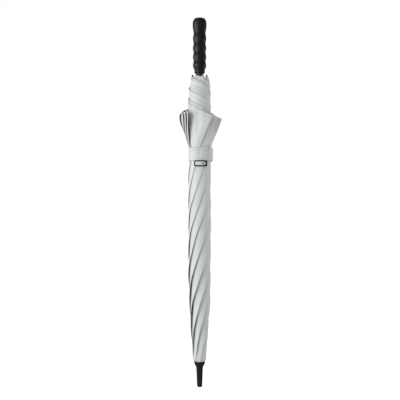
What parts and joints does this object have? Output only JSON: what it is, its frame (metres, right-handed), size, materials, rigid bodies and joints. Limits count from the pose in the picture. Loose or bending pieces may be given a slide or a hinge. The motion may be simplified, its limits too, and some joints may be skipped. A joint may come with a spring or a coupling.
{
  "type": "stick umbrella",
  "caption": "Closed straight umbrella with ribs that swing out on stretchers and a runner, a rolled canopy, a closing strap and a foam hand grip.",
  "frame": {"origin": "centre of the ferrule's flat tip", "axes": "+Z along the shaft from the ferrule to the handle, -Y is the front with the strap's tab"},
  "size_m": [0.114, 0.114, 0.99],
  "materials": {
    "canopy_fabric": "silver-grey pongee, plain weave, slight sheen",
    "shaft_fibreglass": "black fibreglass tube, satin",
    "rib_fibreglass": "black fibreglass rod, satin",
    "black_plastic": "moulded black nylon, fine grain",
    "grip_foam": "black EVA foam, fine pores, matt",
    "hinge_wire": "bright steel wire",
    "tab_rubber": "soft black moulded rubber",
    "tab_inset": "pale reflective film",
    "snap_metal": "dark nickel snap fastener"
  },
  "bodies": {
    "shaft": {"shaft": "shaft_fibreglass", "ferrule": "black_plastic", "crown_cap": "black_plastic", "crown_washer": "black_plastic", "canopy": "canopy_fabric", "top_notch": "black_plastic", "notch_wire": "hinge_wire", "open_stop": "black_plastic", "closed_stop": "black_plastic", "handle_core": "black_plastic", "grip": "grip_foam", "grip_collar": "black_plastic", "end_cap": "black_plastic"},
    "rib_1": {"rib_1": "rib_fibreglass", "rib_joint_1": "black_plastic", "rib_tip_1": "black_plastic", "strap": "canopy_fabric", "snap_socket": "snap_metal"},
    "stretcher_1": {"stretcher_1": "rib_fibreglass"},
    "rib_2": {"rib_2": "rib_fibreglass", "rib_joint_2": "black_plastic", "rib_tip_2": "black_plastic"},
    "stretcher_2": {"stretcher_2": "rib_fibreglass"},
    "rib_3": {"rib_3": "rib_fibreglass", "rib_joint_3": "black_plastic", "rib_tip_3": "black_plastic"},
    "stretcher_3": {"stretcher_3": "rib_fibreglass"},
    "rib_4": {"rib_4": "rib_fibreglass", "rib_joint_4": "black_plastic", "rib_tip_4": "black_plastic"},
    "stretcher_4": {"stretcher_4": "rib_fibreglass"},
    "rib_5": {"rib_5": "rib_fibreglass", "rib_joint_5": "black_plastic", "rib_tip_5": "black_plastic"},
    "stretcher_5": {"stretcher_5": "rib_fibreglass"},
    "rib_6": {"rib_6": "rib_fibreglass", "rib_joint_6": "black_plastic", "rib_tip_6": "black_plastic"},
    "stretcher_6": {"stretcher_6": "rib_fibreglass"},
    "rib_7": {"rib_7": "rib_fibreglass", "rib_joint_7": "black_plastic", "rib_tip_7": "black_plastic"},
    "stretcher_7": {"stretcher_7": "rib_fibreglass"},
    "rib_8": {"rib_8": "rib_fibreglass", "rib_joint_8": "black_plastic", "rib_tip_8": "black_plastic"},
    "stretcher_8": {"stretcher_8": "rib_fibreglass"},
    "runner": {"runner": "black_plastic", "runner_wire": "hinge_wire"},
    "runner_latch": {"runner_latch": "black_plastic"},
    "strap_tab": {"strap_tab": "tab_rubber", "tab_inset": "tab_inset", "snap_cap": "snap_metal"}
  },
  "joints": [
    {"name": "rib_1_swing", "type": "hinge", "parent": "shaft", "child": "rib_1", "pos_m": [0.00383, -0.00924, 0.075], "axis": [0.9239, 0.3827, 0], "range_deg": [0, 66], "deforming": ["canopy", "strap"]},
    {"name": "rib_2_swing", "type": "hinge", "parent": "shaft", "child": "rib_2", "pos_m": [0.00924, -0.00383, 0.075], "axis": [0.3827, 0.9239, 0], "range_deg": [0, 66]},
    {"name": "rib_3_swing", "type": "hinge", "parent": "shaft", "child": "rib_3", "pos_m": [0.00924, 0.00383, 0.075], "axis": [-0.3827, 0.9239, 0], "range_deg": [0, 66]},
    {"name": "rib_4_swing", "type": "hinge", "parent": "shaft", "child": "rib_4", "pos_m": [0.00383, 0.00924, 0.075], "axis": [-0.9239, 0.3827, 0], "range_deg": [0, 66]},
    {"name": "rib_5_swing", "type": "hinge", "parent": "shaft", "child": "rib_5", "pos_m": [-0.00383, 0.00924, 0.075], "axis": [-0.9239, -0.3827, 0], "range_deg": [0, 66]},
    {"name": "rib_6_swing", "type": "hinge", "parent": "shaft", "child": "rib_6", "pos_m": [-0.00924, 0.00383, 0.075], "axis": [-0.3827, -0.9239, 0], "range_deg": [0, 66]},
    {"name": "rib_7_swing", "type": "hinge", "parent": "shaft", "child": "rib_7", "pos_m": [-0.00924, -0.00383, 0.075], "axis": [0.3827, -0.9239, 0], "range_deg": [0, 66]},
    {"name": "rib_8_swing", "type": "hinge", "parent": "shaft", "child": "rib_8", "pos_m": [-0.00383, -0.00924, 0.075], "axis": [0.9239, -0.3827, 0], "range_deg": [0, 66]},
    {"name": "stretcher_1_fold", "type": "hinge", "parent": "rib_1", "child": "stretcher_1", "pos_m": [0.00383, -0.00924, 0.437], "axis": [0.9239, 0.3827, 0], "range_deg": [-132, 0]},
    {"name": "stretcher_2_fold", "type": "hinge", "parent": "rib_2", "child": "stretcher_2", "pos_m": [0.00924, -0.00383, 0.437], "axis": [0.3827, 0.9239, 0], "range_deg": [-132, 0]},
    {"name": "stretcher_3_fold", "type": "hinge", "parent": "rib_3", "child": "stretcher_3", "pos_m": [0.00924, 0.00383, 0.437], "axis": [-0.3827, 0.9239, 0], "range_deg": [-132, 0]},
    {"name": "stretcher_4_fold", "type": "hinge", "parent": "rib_4", "child": "stretcher_4", "pos_m": [0.00383, 0.00924, 0.437], "axis": [-0.9239, 0.3827, 0], "range_deg": [-132, 0]},
    {"name": "stretcher_5_fold", "type": "hinge", "parent": "rib_5", "child": "stretcher_5", "pos_m": [-0.00383, 0.00924, 0.437], "axis": [-0.9239, -0.3827, 0], "range_deg": [-132, 0]},
    {"name": "stretcher_6_fold", "type": "hinge", "parent": "rib_6", "child": "stretcher_6", "pos_m": [-0.00924, 0.00383, 0.437], "axis": [-0.3827, -0.9239, 0], "range_deg": [-132, 0]},
    {"name": "stretcher_7_fold", "type": "hinge", "parent": "rib_7", "child": "stretcher_7", "pos_m": [-0.00924, -0.00383, 0.437], "axis": [0.3827, -0.9239, 0], "range_deg": [-132, 0]},
    {"name": "stretcher_8_fold", "type": "hinge", "parent": "rib_8", "child": "stretcher_8", "pos_m": [-0.00383, -0.00924, 0.437], "axis": [0.9239, -0.3827, 0], "range_deg": [-132, 0]},
    {"name": "runner_travel", "type": "hinge", "parent": "stretcher_1", "child": "runner", "pos_m": [0.00383, -0.00924, 0.799], "axis": [0.9239, 0.3827, 0], "range_deg": [0, 66]},
    {"name": "runner_latch_press", "type": "slide", "parent": "runner", "child": "runner_latch", "axis": [0, 1, 0], "range_m": [0, 0.0018], "stiffness_N_per_m": 400},
    {"name": "strap_tab_peel", "type": "hinge", "parent": "rib_1", "child": "strap_tab", "pos_m": [-0.0145, -0.02853, 0.5986], "axis": [0, 0, -1], "range_deg": [0, 90]}
  ],
  "couplings": [
    {"joint": "rib_2_swing", "follows": "rib_1_swing", "ratio": 1},
    {"joint": "rib_3_swing", "follows": "rib_1_swing", "ratio": 1},
    {"joint": "rib_4_swing", "follows": "rib_1_swing", "ratio": 1},
    {"joint": "rib_5_swing", "follows": "rib_1_swing", "ratio": 1},
    {"joint": "rib_6_swing", "follows": "rib_1_swing", "ratio": 1},
    {"joint": "rib_7_swing", "follows": "rib_1_swing", "ratio": 1},
    {"joint": "rib_8_swing", "follows": "rib_1_swing", "ratio": 1},
    {"joint": "stretcher_1_fold", "follows": "rib_1_swing", "ratio": -2},
    {"joint": "stretcher_2_fold", "follows": "rib_1_swing", "ratio": -2},
    {"joint": "stretcher_3_fold", "follows": "rib_1_swing", "ratio": -2},
    {"joint": "stretcher_4_fold", "follows": "rib_1_swing", "ratio": -2},
    {"joint": "stretcher_5_fold", "follows": "rib_1_swing", "ratio": -2},
    {"joint": "stretcher_6_fold", "follows": "rib_1_swing", "ratio": -2},
    {"joint": "stretcher_7_fold", "follows": "rib_1_swing", "ratio": -2},
    {"joint": "stretcher_8_fold", "follows": "rib_1_swing", "ratio": -2},
    {"joint": "runner_travel", "follows": "rib_1_swing", "ratio": 1}
  ]
}
